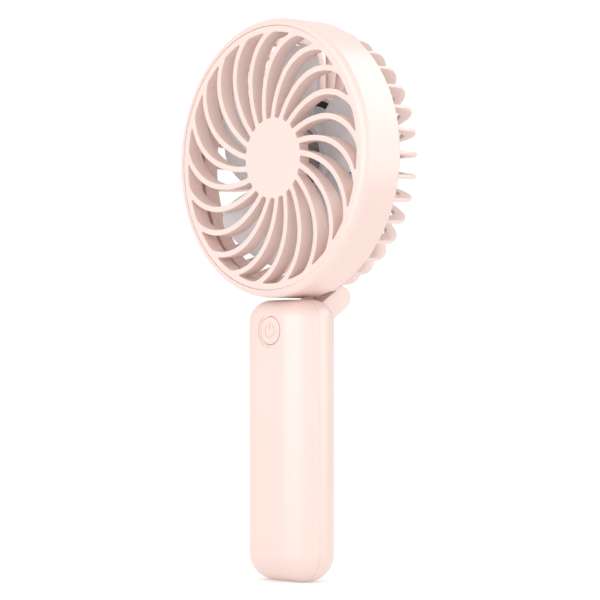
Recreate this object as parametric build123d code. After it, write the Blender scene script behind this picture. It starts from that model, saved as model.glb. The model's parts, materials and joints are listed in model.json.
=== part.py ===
from build123d import *
import os
from math import cos, radians, sin

# Folding handheld fan, in millimetres.
# +Z is up, the fan blows towards -Y, and the origin is the middle of the handle's flat bottom end.
# Head parts are drawn about their own axis first, with the front pointing to local +Z and the top of
# the head to local +Y; place_on_handle stands them in the frame of the whole fan.

# Handle
handle_width = 34.3
handle_depth = 21.2
handle_height = 99.5
top_round = 8.0
base_round = 9.8
wall = 1.3
split_y = -2.0
seam_width = 0.12
seam_depth = 0.12
tongue_depth = 0.9
tongue_gap = 0.05
front_y = -handle_depth / 2

# Screws that join the two halves of the handle
post_x = 9.5
post_heights = (5.2, 91.5)
front_post_r = 2.0
rear_post_r = 2.6
screw_r = 0.85
screw_head_r = 1.6
screw_head_h = 1.1
screw_seat_y = 6.0
screw_tip_y = -4.5

# Power button
button_z = 88.5
button_r = 4.9
button_gap = 0.2
button_recess_r = 6.1
button_recess = 0.5
button_crown = 0.3
flange_r = 5.6
flange_h = 0.7
symbol_r = 2.4
symbol_bar = 2.5
symbol_gap = 2.0
symbol_line = 0.5
symbol_depth = 0.2

# Control board and what is on it
board_front_y = -4.65
board_t = 1.0
board_back_y = board_front_y + board_t
board_half_w = 12.5
board_bottom_z = 76.0
board_top_z = 95.0
switch_size = 4.6
switch_h = 1.8
plunger_r = 1.2
plunger_depth = 0.75
stem_end_y = -7.05
usb_z = 81.5
usb_width = 8.94
usb_height = 3.16
usb_length = 7.35
usb_wall = 0.3
usb_back = 0.8
usb_mouth_x = -16.3
usb_clearance = 0.2
board_post_x = 7.5
board_post_r = 1.3
board_corner_round = 1.0

# Parts on the back of the control board, each as (x, z, width, height, depth)
charger_chip = (0.0, 79.0, 4.0, 4.0, 1.1)
driver_chip = (5.6, 82.5, 3.9, 4.9, 1.5)
inductor = (0.2, 85.2, 4.2, 4.2, 2.4)
lower_capacitor = (-5.5, 88.5, 2.0, 1.25, 0.8)
upper_capacitor = (-5.5, 91.0, 2.0, 1.25, 0.8)
sense_resistor = (5.2, 89.2, 3.0, 1.6, 1.1)

# Battery, an 18650 cell
cell_bottom_z = 8.8
cell_length = 65.0
cell_r = 9.0
sleeve_t = 0.12
tab_t = 0.15
tab_width = 7.2
lead_r = 0.55
lead_x = 10.4
short_lead_x = 6.2
pad_r = 6.6
pad_bottom_z = 6.7
shelf_t = 1.0
shelf_gap = 0.8

# Head
head_z = 149.6
head_r = 49.4
lip_front = 11.0
barrel_back = -5.8
barrel_in_r = 47.95
lip_in_r = 46.85
lip_round = 2.4
lip_edge_round = 0.25
back_round = 0.9
ledge_in_r = 45.6
ledge_front = 4.7
ledge_back = 3.2
bead_h = 0.35
bead_half = 0.3
bead_gap = 0.05
grille_bead_z = 7.0
rear_bead_z = -1.5

# Front grille
grille_r = 46.8
grille_rim_front = 10.8
grille_dish = 1.6
grille_back = 4.8
disc_r = 14.3
slot_out_r = 44.5
spoke_count = 21
spoke_width = 2.0
spoke_lean = 0.8
spoke_hook = 9.8
spoke_hook_power = 4.6
spoke_edge_points = 6
slot_heel_round = 5.0
slot_toe_round = 0.35
slot_root_round = 0.75
grille_edge_round = 0.3

# Rear grille
fin_count = 36
fin_t = 1.4
fin_edge_round = 0.45
fin_band = 4.5
rear_out_r = 47.7
rear_back = -21.5
shoulder_r = 10.5
rim_out_r = 47.8
rim_in_r = 45.9
rim_front = 1.5
rim_back = -4.6
cup_r = 23.0
cup_wall = 1.2
cup_front = -9.8
cup_back = -21.9
cup_floor = 1.3
motor_post_ring = 17.5
motor_post_r = 1.9
motor_screw_r = 0.65
bridge_half = 2.8
channel_half = 1.5

# Hinge
hinge_y = 18.5
hinge_z = 100.5
knuckle_r = 4.0
strap_rise = 33.0
strap_length = 14.0
ear_in_x = 3.1
ear_out_x = 7.0
washer_gap = 0.05
washer_r = 3.4
pin_r = 1.5
pin_clearance = 0.05
pin_end_x = 5.6
plug_r = 2.2
plug_h = 0.9

# Motor
motor_board_r = 21.6
motor_board_front = -10.2
motor_board_t = 1.0
motor_board_back = motor_board_front - motor_board_t

# Parts on the front of the motor board, each as (clock angle, width, height)
motor_part_ring = 18.6
motor_part_depth = 0.7
motor_connector = (20, 3.0, 2.0)
first_capacitor = (60, 2.0, 1.25)
motor_driver = (150, 4.0, 2.2)
second_capacitor = (205, 2.0, 1.25)
position_sensor = (270, 1.6, 1.0)

# Motor, bearings and shaft
bearing_tube_r = 3.15
bearing_tube_in = 2.55
bearing_tube_front = -0.2
bearing_flange_r = 5.5
bearing_r = 2.5
bearing_bore = 1.02
bearing_h = 2.3
bearing_fronts = (-0.6, -8.2)
shaft_r = 0.98
shaft_front = 2.95
shaft_back = -11.8
clip_r = 1.9
stator_front = -0.8
stator_back = -6.6
stator_r = 8.9
stator_hub_r = 4.4
tooth_width = 1.8
tooth_count = 6
pole_in_r = 7.7
slot_opening = 1.0
coil_side = 0.9
coil_end = 0.6
coil_round = 0.5
magnet_r = 11.2
magnet_in_r = 9.5
rotor_cup_r = 12.0
rotor_cup_wall = 0.75
rotor_cup_front = 3.0
rotor_cup_back = -8.2

# Impeller
blade_count = 5
hub_ring_r = 14.1
hub_ring_front = -2.6
hub_ring_back = -8.9
hub_fit = 0.02
hub_skirt_r = 19.6
hub_skirt_t = 0.9
blade_tip_r = 40.5
blade_root_r = 13.4
blade_t = 1.1
blade_root_angle = 62.0
blade_tip_angle = 76.0
blade_root_half = 35.0
blade_tip_half = 19.0
blade_root_z = -5.8
blade_tip_z = -0.9
blade_root_rise = 2.3
blade_tip_rise = 4.2
blade_corner_round = 7.0
sheet_overhang = 1.1
sheet_rows = 8
sheet_columns = 9


def ring(out_r, in_r, low, high):
    """A plain ring about the local Z axis."""
    return Pos(0, 0, low) * extrude(Circle(out_r) - Circle(in_r), high - low)


def disc(radius, low, high):
    """A plain disc about the local Z axis."""
    return Pos(0, 0, low) * extrude(Circle(radius), high - low)


def block(x0, x1, y0, y1, z0, z1):
    """A box between two corners."""
    middle = Pos((x0 + x1) / 2, (y0 + y1) / 2, (z0 + z1) / 2)
    return middle * Box(x1 - x0, y1 - y0, z1 - z0)


def rod_y(radius, x, z, y0, y1):
    """A round bar along Y."""
    return Pos(x, y0, z) * Rot(X=-90) * extrude(Circle(radius), y1 - y0)


def rod_x(radius, y, z, x0, x1):
    """A round bar along X."""
    return Pos(x0, y, z) * Rot(Y=90) * extrude(Circle(radius), x1 - x0)


def rounded(face, corner, radius):
    """The face with its corner nearest to a point rounded."""
    vertex = face.vertices().sort_by_distance(Vector(*corner, 0))[0]
    return fillet(vertex, radius)


def turns(shape, count):
    """Copies of a shape spread evenly about the local Z axis."""
    return [Rot(Z=-360 / count * k) * shape for k in range(count)]


def place_on_handle(shape):
    """Stand a head part, drawn about local Z with its front up, in the fan's frame."""
    return Pos(0, 0, head_z) * Rot(X=90) * shape


def on_clock(radius, angle):
    """Point at a radius and an angle, clockwise from the top as seen from the front."""
    return (radius * sin(radians(angle)), radius * cos(radians(angle)))


# Handle

def handle_form(inset):
    """The handle's outside form, moved inwards."""
    section = SlotOverall(handle_width - 2 * inset, handle_depth - 2 * inset)
    form = Pos(0, 0, inset) * extrude(section, handle_height - 2 * inset)
    form = fillet(form.edges().group_by(Axis.Z)[0], base_round - inset)
    return fillet(form.edges().group_by(Axis.Z)[-1], top_round - inset)


def between_y(y0, y1):
    """A slab across the whole fan between two planes of constant Y."""
    return block(-40, 40, y0, y1, -10, 130)


def post_places():
    """Every screw place as (x, z)."""
    return [(side * post_x, z) for side in (-1, 1) for z in post_heights]


def seam_groove():
    """The fine groove round the joint of the two halves."""
    skin = handle_form(0) - handle_form(seam_depth)
    return skin & between_y(split_y - seam_width / 2, split_y + seam_width / 2)


def tongue(grow):
    """The lip of the front half that the rear half closes over."""
    lip = handle_form(wall / 2 - grow) - handle_form(wall)
    return lip & between_y(split_y - 0.6, split_y + tongue_depth + grow)


def usb_opening():
    """The port's hole through the side wall, at the joint of the two halves."""
    section = SlotOverall(usb_width + 2 * usb_clearance, usb_height + 2 * usb_clearance)
    return Pos(-14, split_y, usb_z) * Rot(Y=-90) * extrude(section, 6)


def power_symbol(depth):
    """A broken ring and a bar, as deep as asked, standing on the plane Z = 0."""
    broken = Circle(symbol_r + symbol_line / 2) - Circle(symbol_r - symbol_line / 2)
    broken -= Pos(0, symbol_r) * Rectangle(symbol_gap, symbol_gap)
    bar = Pos(0, symbol_r * 0.72) * SlotOverall(symbol_bar, symbol_line, rotation=90)
    return extrude(broken + bar, depth)


def handle_front_shell():
    shell = (handle_form(0) - handle_form(wall)) & between_y(-30, split_y)
    shell += tongue(0)
    inside = handle_form(wall / 2)
    for x, z in post_places():
        shell += rod_y(front_post_r, x, z, front_y, split_y) & inside
    for x in (-board_post_x, board_post_x):
        post = rod_y(board_post_r, x, board_bottom_z + 2, front_y, board_front_y)
        shell += post & inside
    for x, z in post_places():
        shell -= rod_y(screw_r - 0.15, x, z, screw_tip_y - 0.5, split_y + 1)
    shell -= rod_y(button_recess_r, 0, button_z, front_y - 1, front_y + button_recess)
    shell -= rod_y(button_r + button_gap, 0, button_z, front_y - 1, front_y + 3)
    shell -= rod_y(flange_r + 0.3, 0, button_z, front_y + wall, front_y + 4)
    return shell - seam_groove() - usb_opening()


def strap_side_view():
    """Side view of one hinge strap, with its eye at the hinge axis."""
    eye = Circle(knuckle_r)
    bar = Pos(-strap_length / 2, 0) * Rectangle(strap_length, 2 * knuckle_r)
    return Plane.YZ * Pos(hinge_y, hinge_z) * Rot(Z=strap_rise) * (eye + bar)


def strap(x0, x1):
    """One hinge strap between two planes of constant X, with softened outer edges."""
    body = Pos(x0, 0, 0) * extrude(strap_side_view(), x1 - x0)
    return fillet(body.edges().filter_by(GeomType.CIRCLE), 0.4)


def lead_exit():
    """The hole that lets the motor's leads out between the straps."""
    section = SlotOverall(3.0, 1.6)
    hole = extrude(section, 12)
    return Pos(0, 2.5, 90.3) * Rot(X=-(90 - strap_rise)) * hole


def handle_rear_shell():
    shell = (handle_form(0) - handle_form(wall)) & between_y(split_y, 30)
    shell -= tongue(tongue_gap)
    straps = strap(ear_in_x, ear_out_x) + strap(-ear_out_x, -ear_in_x)
    shell += straps - handle_form(wall)
    inside = handle_form(wall / 2)
    behind = between_y(split_y + tongue_depth + 0.2, 30)
    for x, z in post_places():
        shell += rod_y(rear_post_r, x, z, split_y, 12) & inside
    for z in (pad_bottom_z - shelf_t, cell_bottom_z + cell_length + shelf_gap):
        shell += block(-20, 20, split_y, 12, z, z + shelf_t) & inside & behind
    for x, z in post_places():
        shell -= rod_y(screw_r + 0.1, x, z, split_y - 1, 12)
        shell -= rod_y(screw_head_r + 0.2, x, z, screw_seat_y, 14)
    shell -= rod_x(pin_r, hinge_y, hinge_z, -ear_out_x - 1, pin_end_x)
    shell -= rod_x(plug_r, hinge_y, hinge_z, -ear_out_x - 1, -ear_out_x + plug_h)
    return shell - seam_groove() - usb_opening() - lead_exit()


def shell_screws():
    """The four self-tapping screws, each a pan head with a cross recess on a plain shank."""
    screws = []
    for x, z in post_places():
        head = rod_y(screw_head_r, x, z, screw_seat_y, screw_seat_y + screw_head_h)
        for tilt in (0, 90):
            bit = Box(1.7, 1.2, 0.45)
            head -= Pos(x, screw_seat_y + screw_head_h, z) * Rot(Y=tilt) * bit
        screws.append(head + rod_y(screw_r - 0.15, x, z, screw_tip_y, screw_seat_y))
    return Compound(children=screws)


# Button, board and port

def power_button():
    cap_front = front_y + 0.25
    cap = disc(button_r, 0, 2.0)
    cap = fillet(cap.edges().group_by(Axis.Z)[-1], button_crown)
    cap -= Pos(0, 0, 2.0 - symbol_depth) * power_symbol(symbol_depth + 1)
    flange_front = -front_y - wall - 0.05
    cap = Pos(0, 0, -cap_front - 2.0) * cap
    cap += disc(flange_r, flange_front - flange_h, flange_front)
    cap += disc(1.5, -stem_end_y, flange_front - flange_h)
    return Pos(0, 0, button_z) * Rot(X=90) * cap


def switch_plunger():
    return rod_y(plunger_r, 0, button_z, stem_end_y, stem_end_y + plunger_depth)


def tact_switch():
    half = switch_size / 2
    front = board_front_y - switch_h
    body = block(-half, half, front, board_front_y, button_z - half, button_z + half)
    body = fillet(body.edges().filter_by(Axis.Y), 0.4)
    return body - rod_y(plunger_r + 0.1, 0, button_z, front - 1, board_front_y - 0.45)


def status_led():
    return block(3.2, 4.0, board_front_y - 0.6, board_front_y, button_z - 0.8, button_z + 0.8)


def control_board():
    """The board, notched at its top corners round the screw posts."""
    board = block(
        -board_half_w, board_half_w, board_front_y, board_back_y, board_bottom_z, board_top_z
    )
    board = fillet(board.edges().filter_by(Axis.Y), board_corner_round)
    notch_r = front_post_r + 0.4
    notch_z = post_heights[1]
    for side in (-1, 1):
        board -= rod_y(notch_r, side * post_x, notch_z, -10, 0)
        low, high = sorted((side * post_x, side * post_x * 2))
        board -= block(low, high, -10, 0, notch_z - notch_r, board_top_z + 1)
    return board


def control_parts():
    """Charger, motor driver, inductor, capacitors and resistor on the back of the board."""
    parts = []
    for x, z, width, height, depth in (
        charger_chip,
        driver_chip,
        inductor,
        lower_capacitor,
        upper_capacitor,
        sense_resistor,
    ):
        body = Box(width, depth, height)
        parts.append(Pos(x, board_back_y + depth / 2, z) * body)
    return Compound(children=parts)


def usb_c_port():
    """The receptacle: a drawn steel shell with its contact tongue and closed back."""
    shell = extrude(SlotOverall(usb_width, usb_height), usb_length)
    mouth = SlotOverall(usb_width - 2 * usb_wall, usb_height - 2 * usb_wall)
    shell -= extrude(mouth, usb_length - usb_back)
    contacts = block(-3.3, 3.3, -0.35, 0.35, usb_back, usb_length)
    return Pos(usb_mouth_x, split_y, usb_z) * Rot(Y=90) * (shell + contacts)


# Battery

def battery_cell():
    can = disc(cell_r, cell_bottom_z, cell_bottom_z + cell_length - 0.6)
    can = fillet(can.edges().group_by(Axis.Z)[0], 0.8)
    can += disc(3.2, cell_bottom_z + cell_length - 0.6, cell_bottom_z + cell_length)
    return can


def battery_sleeve():
    low = cell_bottom_z + 0.9
    return ring(cell_r + sleeve_t, cell_r, low, cell_bottom_z + cell_length - 0.6)


def battery_tabs():
    top_z = cell_bottom_z + cell_length
    half = tab_width / 2
    upper = block(-3, 7.5, -half, half, top_z, top_z + tab_t)
    lower = block(-3, 11.2, -half, half, cell_bottom_z - tab_t, cell_bottom_z)
    return Compound(children=[upper, lower])


def battery_leads():
    lead_y = board_back_y + lead_r
    top_z = cell_bottom_z + cell_length + tab_t
    wire = Circle(lead_r)
    short = Pos(short_lead_x, lead_y, top_z) * extrude(wire, board_bottom_z + 2 - top_z)
    tall = Pos(lead_x, lead_y, cell_bottom_z) * extrude(wire, board_bottom_z + 3 - cell_bottom_z)
    return Compound(children=[short, tall])


def battery_pad():
    return disc(pad_r, pad_bottom_z, cell_bottom_z - tab_t)


# Hinge

def hinge_pin():
    return rod_x(pin_r, hinge_y, hinge_z, -ear_out_x + plug_h, pin_end_x)


def hinge_pin_plug():
    plug = rod_x(plug_r, hinge_y, hinge_z, -ear_out_x, -ear_out_x + plug_h)
    return fillet(plug.edges().sort_by(Axis.X)[0], 0.25)


def hinge_washers():
    washers = []
    for side in (-1, 1):
        low, high = sorted((side * (bridge_half + washer_gap), side * ear_in_x))
        washer = rod_x(washer_r, hinge_y, hinge_z, low, high)
        washers.append(washer - rod_x(pin_r, hinge_y, hinge_z, low - 1, high + 1))
    return Compound(children=washers)


def lead_run(x, *points):
    """One insulated wire through (y, z) points in a plane of constant X."""
    path = FilletPolyline(*[(x, y, z) for y, z in points], radius=2.5)
    start = Plane(path @ 0, z_dir=path % 0)
    return sweep(start * Circle(lead_r), path)


def handle_motor_leads():
    slope = strap_rise
    rise = 7.6
    bend = (3.2, 91.0)
    end = (bend[0] + rise * cos(radians(slope)), bend[1] + rise * sin(radians(slope)))
    wires = [lead_run(x, (board_back_y, 91.0), bend, end) for x in (-0.7, 0.7)]
    return Compound(children=wires)


# Head shell

def barrel():
    outline = make_face(Polyline(
        (barrel_in_r, barrel_back),
        (head_r, barrel_back),
        (head_r, lip_front),
        (lip_in_r, lip_front),
        (lip_in_r, ledge_front),
        (ledge_in_r, ledge_front),
        (ledge_in_r, ledge_back),
        (barrel_in_r, ledge_back),
        close=True,
    ))
    outline = rounded(outline, (head_r, lip_front), lip_round)
    outline = rounded(outline, (lip_in_r, lip_front), lip_edge_round / 2)
    outline = rounded(outline, (head_r, barrel_back), back_round)
    body = revolve(Plane.XZ * outline, Axis.Z)
    for wall_r, z in ((lip_in_r, grille_bead_z), (barrel_in_r, rear_bead_z)):
        half = bead_half + 0.15
        body -= ring(wall_r + bead_h + bead_gap, wall_r - 0.5, z - half, z + half)
    return place_on_handle(body)


def spoke_angle(radius):
    """Clock angle of a spoke's centre line: a straight lean that hooks over near the rim."""
    t = radius - disc_r
    return spoke_lean * t + spoke_hook * (t / (slot_out_r - disc_r)) ** spoke_hook_power


def spoke_half_angle(radius):
    """Half of a spoke's width as an angle, so that its width across stays the same."""
    step = 0.1
    lean = radians(spoke_angle(radius + step) - spoke_angle(radius)) / step
    across = (1 + (radius * lean) ** 2) ** 0.5
    return spoke_width / 2 * across / radians(1) / radius


def slot_edge(offset, side):
    """One long edge of a slot, from the disc to the rim."""
    points = []
    for k in range(spoke_edge_points):
        radius = disc_r + (slot_out_r - disc_r) * k / (spoke_edge_points - 1)
        angle = spoke_angle(radius) + offset + side * spoke_half_angle(radius)
        points.append(on_clock(radius, angle))
    return Spline(*points)


def slot_outline():
    pitch = 360 / spoke_count
    first = slot_edge(0, 1)
    second = slot_edge(pitch, -1)
    root = Line(first @ 0, second @ 0)
    toe_angle = spoke_angle(slot_out_r) + pitch / 2
    rim = ThreePointArc(first @ 1, on_clock(slot_out_r, toe_angle), second @ 1)
    face = make_face(first + rim + second + root)
    heel = first @ 1
    toe = second @ 1
    for corner in (first @ 0, second @ 0):
        face = rounded(face, (corner.X, corner.Y), slot_root_round)
    face = rounded(face, (heel.X, heel.Y), slot_heel_round)
    return rounded(face, (toe.X, toe.Y), slot_toe_round)


def front_grille():
    middle_front = grille_rim_front - grille_dish
    face = make_face(Polyline(
        (0, middle_front),
        (disc_r, middle_front),
        (grille_r, grille_rim_front),
        (grille_r, grille_back),
        (0, grille_back),
        close=True,
    ))
    face = rounded(face, (grille_r, grille_rim_front), grille_edge_round)
    body = revolve(Plane.XZ * face, Axis.Z)
    body += ring(grille_r + bead_h, grille_r - 1, grille_bead_z - bead_half, grille_bead_z + bead_half)
    slot = Pos(0, 0, grille_back - 1) * extrude(slot_outline(), lip_front)
    body -= turns(slot, spoke_count)
    return place_on_handle(body)


def fin_outline():
    """Side view of one fin, as (radius, height): a band that runs round the shoulder to the cup."""
    inner_r = rear_out_r - fin_band
    inner_z = rear_back + fin_band
    face = make_face(Polyline(
        (rear_out_r, rim_front - 4),
        (rear_out_r, rear_back),
        (cup_r - 0.6, rear_back),
        (cup_r - 0.6, inner_z),
        (inner_r, inner_z),
        (inner_r, rear_back + shoulder_r + 0.4),
        (rim_in_r, rim_back + 0.4),
        (rim_in_r, rim_front - 4),
        close=True,
    ))
    face = rounded(face, (rear_out_r, rear_back), shoulder_r)
    return rounded(face, (inner_r, inner_z), shoulder_r - fin_band)


def fin():
    plate = extrude(Plane.XZ * fin_outline(), fin_t / 2, both=True)
    long_edges = plate.edges().filter_by(lambda e: abs(abs(e.center().Y) - fin_t / 2) < 0.01)
    return fillet(long_edges, fin_edge_round)


def hinge_bridge():
    """The wide bottom rib, one piece with the tongue below it that turns on the hinge pin."""
    eye_up = hinge_z - head_z
    side = mirror(fin_outline(), Plane.YZ)
    side += make_face(Polyline(
        (eye_up, -hinge_y + knuckle_r),
        (eye_up + 3.2, -12.4),
        (-40.0, -16.0),
        (-36.5, rear_back + 1.5),
        (-41.0, rear_back),
        (eye_up, -hinge_y - knuckle_r),
        close=True,
    ))
    side += Pos(eye_up, -hinge_y) * Circle(knuckle_r)
    return extrude(Plane.YZ * side, bridge_half, both=True)


def rear_grille():
    bead = ring(rim_out_r + bead_h, rim_out_r - 0.5, rear_bead_z - bead_half, rear_bead_z + bead_half)
    rim = ring(rim_out_r, rim_in_r, rim_back, rim_front)
    cup = disc(cup_r, cup_back, cup_front) - disc(cup_r - cup_wall, cup_back + cup_floor, cup_front + 1)
    cup = fillet(cup.edges().group_by(Axis.Z)[0], 0.6)
    post = Pos(0, motor_post_ring, 0) * disc(motor_post_r, cup_back + cup_floor / 2, motor_board_back)
    fins = [Rot(Z=360 / fin_count * k - 90) * fin() for k in range(1, fin_count)]
    body = rim + bead + cup + turns(post, 3) + fins + hinge_bridge()
    eye_up = hinge_z - head_z
    channel_front = rear_back + fin_band + 0.1
    body -= block(-channel_half, channel_half, eye_up + 3.6, -cup_r + 3, rear_back + 2.2, channel_front)
    pilot = Pos(0, motor_post_ring, 0) * disc(motor_screw_r, cup_back + 4, 0)
    body -= turns(pilot, 3)
    body -= rod_x(pin_r + pin_clearance, eye_up, -hinge_y, -10, 10)
    return place_on_handle(body)


# Motor

def motor_board():
    board = ring(motor_board_r, bearing_tube_r, motor_board_back, motor_board_front)
    hole = Pos(0, motor_post_ring, 0) * disc(motor_screw_r + 0.2, motor_board_back - 1, 0)
    board -= turns(hole, 3)
    return place_on_handle(board)


def motor_board_parts():
    """Connector, capacitors, driver chip and position sensor round the front of the motor board."""
    parts = []
    for angle, width, height in (
        motor_connector,
        first_capacitor,
        motor_driver,
        second_capacitor,
        position_sensor,
    ):
        body = Box(width, height, motor_part_depth)
        body = Pos(0, motor_part_ring, motor_board_front + motor_part_depth / 2) * body
        parts.append(place_on_handle(Rot(Z=-angle) * body))
    return Compound(children=parts)


def motor_screws():
    screws = []
    for k in range(3):
        head = disc(1.3, motor_board_front, motor_board_front + 0.7)
        for tilt in (0, 90):
            head -= Pos(0, 0, motor_board_front + 0.7) * Rot(Z=tilt) * Box(1.4, 0.35, 0.7)
        screw = head + disc(motor_screw_r, motor_board_front - 5, motor_board_front)
        spot = on_clock(motor_post_ring, 120 * k)
        screws.append(place_on_handle(Pos(spot[0], spot[1], 0) * screw))
    return Compound(children=screws)


def bearing_tube():
    tube = ring(bearing_tube_r, bearing_tube_in, motor_board_back, bearing_tube_front)
    tube += ring(bearing_flange_r, bearing_tube_in, motor_board_back - 1.0, motor_board_back)
    return place_on_handle(tube)


def motor_bearings():
    bearings = []
    for front in bearing_fronts:
        body = ring(bearing_r, bearing_bore, front - bearing_h, front)
        body -= ring(2.0, 1.5, front - 0.15, front + 1)
        bearings.append(place_on_handle(body))
    return Compound(children=bearings)


def stator_core():
    section = Circle(stator_hub_r)
    section += Circle(stator_r) - Circle(pole_in_r)
    tooth = Pos(0, (pole_in_r + 3.5) / 2) * Rectangle(tooth_width, pole_in_r - 3.3)
    gap = Pos(0, stator_r) * Rectangle(slot_opening, 3.0)
    section += turns(tooth, tooth_count)
    section -= [Rot(Z=180 / tooth_count) * cut for cut in turns(gap, tooth_count)]
    section -= Circle(bearing_tube_r)
    return place_on_handle(Pos(0, 0, stator_back) * extrude(section, stator_front - stator_back))


def stator_windings():
    """One coil round each tooth of the stator."""
    low = stator_hub_r + 0.25
    high = pole_in_r - 0.3
    half = tooth_width / 2
    wide = half + coil_side
    outer = block(-wide, wide, low, high, stator_back - coil_end, stator_front + coil_end)
    outer = fillet(outer.edges().filter_by(Axis.Y), coil_round)
    coil = outer - block(-half, half, low - 1, high + 1, stator_back, stator_front)
    return Compound(children=[place_on_handle(copy) for copy in turns(coil, tooth_count)])


def head_motor_leads():
    """The leads from the hinge lug, through the bridge, to the back of the motor board."""
    run_z = rear_back + 3.0
    wires = []
    for x in (-0.7, 0.7):
        wire = lead_run(x, (hinge_z - head_z + 4.4, run_z), (-10.0, run_z), (-10.0, motor_board_back))
        wires.append(place_on_handle(wire))
    return Compound(children=wires)


def rotor_cup():
    cup = disc(rotor_cup_r, rotor_cup_back, rotor_cup_front)
    cup = fillet(cup.edges().group_by(Axis.Z)[-1], 0.9)
    cup -= disc(rotor_cup_r - rotor_cup_wall, rotor_cup_back - 1, rotor_cup_front - 0.8)
    cup += disc(2.2, 0.9, rotor_cup_front - 0.8)
    cup -= disc(shaft_r, 0, rotor_cup_front + 1)
    return place_on_handle(cup)


def magnet_ring():
    return place_on_handle(ring(magnet_r, magnet_in_r, rotor_cup_back + 0.3, 0.3))


def motor_shaft():
    shaft = disc(shaft_r, shaft_back, shaft_front)
    shaft = chamfer(shaft.edges().filter_by(GeomType.CIRCLE), 0.15)
    return place_on_handle(shaft)


def shaft_clip():
    clip = ring(clip_r, shaft_r, -11.2, -10.8)
    return place_on_handle(clip - block(-0.6, 0.6, 0, 5, -12, -10))


# Impeller

def blade_reach(radius):
    """How far along the blade a radius is, from 0 at the hub to 1 at the tip."""
    return (radius - blade_root_r) / (blade_tip_r - blade_root_r)


def blade_centre_angle(radius):
    """Clock angle of the blade's middle line."""
    return blade_root_angle + (blade_tip_angle - blade_root_angle) * blade_reach(radius)


def blade_half_angle(radius):
    """Half of the blade's width as an angle: even near the hub, and drawn in towards the tip."""
    return blade_root_half + (blade_tip_half - blade_root_half) * blade_reach(radius) ** 3


def blade_point(radius, across):
    """Point on the blade's middle surface; across is -1 at the leading edge and 1 at the trailing."""
    along = blade_reach(radius)
    x, y = on_clock(radius, blade_centre_angle(radius) + across * blade_half_angle(radius))
    middle = blade_root_z + (blade_tip_z - blade_root_z) * along
    rise = blade_root_rise + (blade_tip_rise - blade_root_rise) * along
    return Vector(x, y, middle + across * rise)


def blade_edge(side):
    """One long edge of the blade, seen from the front, from the hub to the tip."""
    points = []
    for k in range(5):
        radius = blade_root_r + (blade_tip_r - blade_root_r) * k / 4
        points.append(on_clock(radius, blade_centre_angle(radius) + side * blade_half_angle(radius)))
    return Spline(*points)


def blade_outline():
    """The blade as seen from the front."""
    lead = blade_edge(-1)
    trail = blade_edge(1)
    tip = ThreePointArc(lead @ 1, on_clock(blade_tip_r, blade_tip_angle), trail @ 1)
    root = ThreePointArc(lead @ 0, on_clock(blade_root_r, blade_root_angle), trail @ 0)
    face = make_face(lead + tip + trail + root)
    for corner in (lead @ 1, trail @ 1):
        face = rounded(face, (corner.X, corner.Y), blade_corner_round)
    return face


def blade():
    """A curved sheet a little larger than the blade, thickened and then cut to its outline."""
    first_r = blade_root_r - 0.6
    last_r = blade_tip_r + 1.0
    rows = [first_r + (last_r - first_r) * k / (sheet_rows - 1) for k in range(sheet_rows)]
    columns = [sheet_overhang * (2 * k / (sheet_columns - 1) - 1) for k in range(sheet_columns)]
    sheet = Face.make_surface_from_array_of_points([[blade_point(r, c) for c in columns] for r in rows])
    slab = thicken(sheet, blade_t / 2, both=True)
    return slab & (Pos(0, 0, -20) * extrude(blade_outline(), 40))


def impeller():
    hub = ring(hub_ring_r, rotor_cup_r + hub_fit, hub_ring_back, hub_ring_front)
    skirt = ring(hub_skirt_r, rotor_cup_r + hub_fit, hub_ring_back, hub_ring_back + hub_skirt_t)
    body = hub + skirt + turns(blade(), blade_count)
    body -= disc(rotor_cup_r + hub_fit, -20, 20)
    return place_on_handle(body)


NODES = (
    handle_front_shell,
    handle_rear_shell,
    shell_screws,
    power_button,
    switch_plunger,
    tact_switch,
    status_led,
    control_board,
    control_parts,
    usb_c_port,
    battery_cell,
    battery_sleeve,
    battery_tabs,
    battery_leads,
    battery_pad,
    handle_motor_leads,
    hinge_pin,
    hinge_pin_plug,
    hinge_washers,
    barrel,
    front_grille,
    rear_grille,
    motor_board,
    motor_board_parts,
    motor_screws,
    bearing_tube,
    motor_bearings,
    stator_core,
    stator_windings,
    head_motor_leads,
    rotor_cup,
    magnet_ring,
    motor_shaft,
    shaft_clip,
    impeller,
)

os.makedirs("parts", exist_ok=True)
for make in NODES:
    export_step(make(), "parts/" + make.__name__ + ".step")
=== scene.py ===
import json
from math import cos, pi, radians, sin

import bpy
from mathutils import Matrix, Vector


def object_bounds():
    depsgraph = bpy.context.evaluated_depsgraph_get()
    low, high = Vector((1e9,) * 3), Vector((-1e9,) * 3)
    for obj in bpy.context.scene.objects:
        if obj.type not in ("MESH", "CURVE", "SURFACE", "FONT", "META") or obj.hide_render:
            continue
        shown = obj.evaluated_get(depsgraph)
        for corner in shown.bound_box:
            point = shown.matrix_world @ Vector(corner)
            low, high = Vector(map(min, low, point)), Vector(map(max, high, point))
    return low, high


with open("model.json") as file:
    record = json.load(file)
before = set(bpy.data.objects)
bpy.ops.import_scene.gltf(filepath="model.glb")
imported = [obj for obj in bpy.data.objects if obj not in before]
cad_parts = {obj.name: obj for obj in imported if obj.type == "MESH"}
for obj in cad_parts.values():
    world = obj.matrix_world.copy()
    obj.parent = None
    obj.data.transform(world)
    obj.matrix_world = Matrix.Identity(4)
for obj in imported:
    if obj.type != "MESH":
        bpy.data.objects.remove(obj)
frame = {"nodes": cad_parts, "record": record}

cad_low, cad_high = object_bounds()
nodes = frame["nodes"]

# Lengths are in metres and angles in degrees. Azimuth 0 looks along +Y and 90 along -X.
MIDDLE_Z = (cad_low[2] + cad_high[2]) / 2
WHITE = (1, 1, 1, 1)

# Camera
CAMERA_AZIMUTH = 47.4
CAMERA_DISTANCE = 0.904
CAMERA_HEIGHT = 0.077
CAMERA_LENS = 152.6
CAMERA_ASIDE = 0.003

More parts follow.
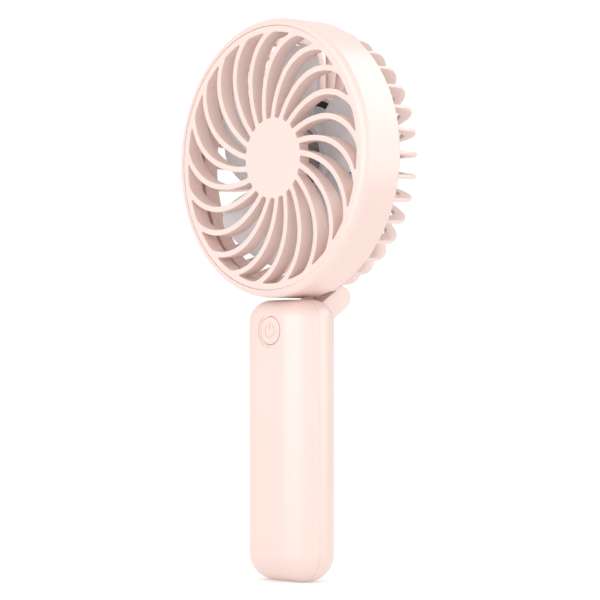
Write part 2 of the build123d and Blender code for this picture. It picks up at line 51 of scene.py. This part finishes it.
# Floor and room
FLOOR_SIZE = 60.0
FLOOR_COLOUR = (0.76, 0.76, 0.76)
FLOOR_GLOW = 0.25
FLOOR_ROUGHNESS = 0.9
SKY_LOW = 0.82
SKY_TOP = 1.25
BACKDROP = 1.05

# Softboxes, each as azimuth, elevation, distance, width, height and radiance
KEY_LIGHT = (28, 4, 0.75, 0.4, 0.8, 1.15)
SHEENS = {
    "front_sheen": (1, 8, 0.75, 1.12, 0.9, 3.0),
    "side_sheen": (72, 8, 0.75, 0.8, 0.9, 1.2),
    "rim_sheen_low": (122, 4, 0.8, 0.55, 0.5, 3.3),
    "rim_sheen_high": (146, 42, 0.8, 0.7, 0.6, 3.6),
}

# Plastic
PINK = (0.84, 0.656, 0.603)
SOFT_EDGE = 0.0004
DRIFT_SCALE = 22.0
DRIFT = 0.03
GLOSS_SCALE = 90.0
GRAIN_SCALE = 3200.0
RELIEF = 0.0001


# Materials

class Nodes:
    """Short names for building one material's node tree."""

    def __init__(self, name, colour, roughness, metallic=0.0):
        self.material = bpy.data.materials.new(name)
        self.material.use_nodes = True
        self.tree = self.material.node_tree
        self.shader = self.tree.nodes["Principled BSDF"]
        self.set("Base Color", (*colour, 1))
        self.set("Roughness", roughness)
        self.set("Metallic", metallic)
        self.place = self.tree.nodes.new("ShaderNodeTexCoord").outputs["Object"]

    def set(self, socket, value):
        self.shader.inputs[socket].default_value = value

    def link(self, output, socket):
        self.tree.links.new(output, self.shader.inputs[socket])

    def stretched(self, scale):
        """The place, scaled by a different number along each axis."""
        node = self.tree.nodes.new("ShaderNodeMapping")
        node.inputs["Scale"].default_value = scale
        self.tree.links.new(self.place, node.inputs["Vector"])
        return node.outputs["Vector"]

    def noise(self, scale, detail=3.0, where=None):
        node = self.tree.nodes.new("ShaderNodeTexNoise")
        node.inputs["Scale"].default_value = scale
        node.inputs["Detail"].default_value = detail
        self.tree.links.new(where or self.place, node.inputs["Vector"])
        return node.outputs["Fac"]

    def ramp(self, value, low, high, from_low=0.35, from_high=0.65):
        node = self.tree.nodes.new("ShaderNodeMapRange")
        node.inputs["From Min"].default_value = from_low
        node.inputs["From Max"].default_value = from_high
        node.inputs["To Min"].default_value = low
        node.inputs["To Max"].default_value = high
        self.tree.links.new(value, node.inputs["Value"])
        return node.outputs["Result"]

    def mix(self, value, first, second):
        """Colour that runs from first to second as value goes from 0 to 1."""
        node = self.tree.nodes.new("ShaderNodeMix")
        node.data_type = "RGBA"
        node.inputs["A"].default_value = (*first, 1)
        node.inputs["B"].default_value = (*second, 1)
        self.tree.links.new(value, node.inputs["Factor"])
        return node.outputs["Result"]

    def bump(self, height, strength, edge=0.0):
        """Fine relief; edge is the radius that sharp corners are softened by."""
        node = self.tree.nodes.new("ShaderNodeBump")
        if edge:
            soft = self.tree.nodes.new("ShaderNodeBevel")
            soft.samples = 6
            soft.inputs["Radius"].default_value = edge
            self.tree.links.new(soft.outputs["Normal"], node.inputs["Normal"])
        node.inputs["Strength"].default_value = strength
        node.inputs["Distance"].default_value = RELIEF
        self.tree.links.new(height, node.inputs["Height"])
        self.link(node.outputs["Normal"], "Normal")


def shade(colour, factor):
    return tuple(channel * factor for channel in colour)


def moulded_plastic(name, colour, roughness, grain=0.03, edge=0.0):
    """Injection-moulded plastic: faint colour drift, uneven gloss and a fine mould grain."""
    m = Nodes(name, colour, roughness)
    drift = m.noise(DRIFT_SCALE, 2.0)
    m.link(m.mix(drift, shade(colour, 1 + DRIFT), shade(colour, 1 - DRIFT)), "Base Color")
    gloss = m.noise(GLOSS_SCALE)
    m.link(m.ramp(gloss, roughness - 0.02, roughness + 0.1, 0.0, 1.0), "Roughness")
    m.set("IOR", 1.5)
    m.bump(m.noise(GRAIN_SCALE, 2.0), grain, edge)
    return m.material


def metal(name, colour, roughness, stretch=(1.0, 1.0, 1.0)):
    """Metal with fine drawn or turned lines along the axis that stretch is smallest on."""
    m = Nodes(name, colour, roughness, 1.0)
    lines = m.noise(900.0, 4.0, m.stretched(stretch))
    m.link(m.mix(m.ramp(lines, 0.0, 1.0), colour, shade(colour, 0.8)), "Base Color")
    m.link(m.ramp(lines, roughness - 0.06, roughness + 0.1), "Roughness")
    m.bump(lines, 0.06)
    return m.material


def frosted_plastic(name, colour):
    """Translucent blade plastic with a frosted skin."""
    m = Nodes(name, colour, 0.45)
    cloud = m.ramp(m.noise(60.0), 0.0, 1.0)
    m.link(m.mix(cloud, colour, shade(colour, 0.93)), "Base Color")
    m.link(m.ramp(m.noise(400.0), 0.38, 0.52), "Roughness")
    m.set("Transmission Weight", 0.2)
    m.set("IOR", 1.49)
    m.bump(m.noise(2500.0), 0.05)
    return m.material


def rubber_skin(name, colour, roughness=0.6):
    m = Nodes(name, colour, roughness)
    m.link(m.mix(m.ramp(m.noise(300.0), 0.0, 1.0), colour, shade(colour, 0.75)), "Base Color")
    m.bump(m.noise(1800.0), 0.1)
    return m.material


def clear_lens(name, colour):
    m = Nodes(name, colour, 0.1)
    m.set("Transmission Weight", 0.8)
    m.link(m.ramp(m.noise(500.0), 0.06, 0.2), "Roughness")
    return m.material


MATERIALS = {
    "shell_pink": moulded_plastic("shell_pink_moulded", PINK, 0.3),
    "grille_pink": moulded_plastic("grille_pink_moulded", PINK, 0.34, edge=SOFT_EDGE),
    "button_pink": moulded_plastic("button_pink_moulded", shade(PINK, 0.97), 0.4),
    "frosted_plastic": frosted_plastic("frosted_blades", (0.86, 0.86, 0.885)),
    "rotor_steel": metal("rotor_dark_steel", (0.33, 0.31, 0.3), 0.4, (1, 0.1, 1)),
    "bright_steel": metal("bright_steel", (0.72, 0.72, 0.73), 0.2),
    "screw_steel": metal("screw_steel", (0.5, 0.5, 0.51), 0.35),
    "lamination_steel": metal("lamination_steel", (0.32, 0.32, 0.33), 0.45, (0.2, 4, 0.2)),
    "magnet_black": rubber_skin("magnet_black", (0.03, 0.03, 0.033), 0.5),
    "tube_brass": metal("tube_brass", (0.72, 0.5, 0.2), 0.3, (1, 0.1, 1)),
    "copper_wire": metal("copper_wire", (0.65, 0.25, 0.1), 0.3, (0.3, 6, 0.3)),
    # The motor board's near-black is partly its own colour and partly painted shade: it stands in
    # for the shadowed gap seen behind the impeller.
    "motor_board_black": moulded_plastic("motor_board_black", (0.012, 0.012, 0.013), 0.35, 0.08),
    "board_green": moulded_plastic("board_green", (0.01, 0.09, 0.035), 0.35, 0.08),
    "chip_black": moulded_plastic("chip_black", (0.02, 0.02, 0.022), 0.5, 0.1),
    "led_clear": clear_lens("led_clear", (0.9, 0.93, 1.0)),
    "cell_body": metal("cell_body", (0.6, 0.6, 0.6), 0.3, (1, 1, 0.1)),
    "sleeve_blue": moulded_plastic("sleeve_blue", (0.02, 0.09, 0.35), 0.25),
    "lead_insulation": rubber_skin("lead_insulation", (0.35, 0.01, 0.01), 0.45),
    "pad_foam": rubber_skin("pad_foam", (0.03, 0.03, 0.033), 0.9),
    "washer_nylon": moulded_plastic("washer_nylon", (0.75, 0.73, 0.68), 0.45),
}


def dress_cad_nodes():
    """Give every CAD node the finished material of its record slot."""
    for part in frame["record"]["subparts"]:
        mesh = nodes[part["node"]].data
        mesh.materials.clear()
        mesh.materials.append(MATERIALS[part["material_slot"]])


# Stage

def make_floor():
    """A pale floor that glows faintly, so that the contact shadow stays light."""
    m = Nodes("stage_floor", FLOOR_COLOUR, FLOOR_ROUGHNESS)
    m.link(m.ramp(m.noise(6.0), FLOOR_ROUGHNESS - 0.02, FLOOR_ROUGHNESS + 0.05), "Roughness")
    m.set("Emission Color", WHITE)
    m.set("Emission Strength", FLOOR_GLOW)
    bpy.ops.mesh.primitive_plane_add(size=FLOOR_SIZE, location=(0, 0, cad_low[2]))
    floor = bpy.context.object
    floor.name = "stage_floor"
    floor.data.materials.append(m.material)


def make_world():
    """A white room: plain white behind the fan, and light that is a little stronger from above."""
    world = bpy.data.worlds.new("studio")
    world.use_nodes = True
    tree = world.node_tree
    light = tree.nodes["Background"]
    direction = tree.nodes.new("ShaderNodeTexCoord").outputs["Generated"]
    parts = tree.nodes.new("ShaderNodeSeparateXYZ")
    tree.links.new(direction, parts.inputs["Vector"])
    strength = tree.nodes.new("ShaderNodeMapRange")
    strength.inputs["To Min"].default_value = SKY_LOW
    strength.inputs["To Max"].default_value = SKY_TOP
    tree.links.new(parts.outputs["Z"], strength.inputs["Value"])
    tree.links.new(strength.outputs["Result"], light.inputs["Strength"])
    light.inputs["Color"].default_value = WHITE

    backdrop = tree.nodes.new("ShaderNodeBackground")
    backdrop.inputs["Color"].default_value = WHITE
    backdrop.inputs["Strength"].default_value = BACKDROP
    choice = tree.nodes.new("ShaderNodeMixShader")
    seen = tree.nodes.new("ShaderNodeLightPath").outputs["Is Camera Ray"]
    tree.links.new(seen, choice.inputs[0])
    tree.links.new(light.outputs[0], choice.inputs[1])
    tree.links.new(backdrop.outputs[0], choice.inputs[2])
    tree.links.new(choice.outputs[0], tree.nodes["World Output"].inputs["Surface"])
    bpy.context.scene.world = world


def softbox(name, azimuth, elevation, distance, width, height, radiance):
    """A lit panel that looks at the middle of the fan."""
    data = bpy.data.lights.new(name, "AREA")
    data.shape = "RECTANGLE"
    data.size = width
    data.size_y = height
    data.energy = radiance * pi * width * height
    light = bpy.data.objects.new(name, data)
    bpy.context.scene.collection.objects.link(light)
    turn, lift = radians(azimuth), radians(elevation)
    away = Vector((sin(turn) * cos(lift), -cos(turn) * cos(lift), sin(lift)))
    light.location = Vector((0, 0, MIDDLE_Z)) + away * distance
    light.rotation_euler = (-away).to_track_quat("-Z", "Y").to_euler()
    return light


def make_lights():
    """One key light, and panels that show as reflections and light nothing else."""
    softbox("key", *KEY_LIGHT)
    for name, values in SHEENS.items():
        softbox(name, *values).visible_diffuse = False


def make_camera():
    data = bpy.data.cameras.new("camera")
    data.lens = CAMERA_LENS
    camera = bpy.data.objects.new("camera", data)
    bpy.context.scene.collection.objects.link(camera)
    turn = radians(CAMERA_AZIMUTH)
    right = Vector((cos(turn), sin(turn), 0))
    ahead = Vector((-sin(turn), cos(turn), 0))
    target = right * CAMERA_ASIDE + Vector((0, 0, MIDDLE_Z))
    camera.location = target - ahead * CAMERA_DISTANCE
    camera.location.z = CAMERA_HEIGHT
    camera.rotation_euler = (target - camera.location).to_track_quat("-Z", "Y").to_euler()
    bpy.context.scene.camera = camera


def make_stage():
    make_floor()
    make_world()
    make_lights()
    make_camera()
    view = bpy.context.scene.view_settings
    view.view_transform = "Standard"
    view.look = "None"


dress_cad_nodes()
make_stage()
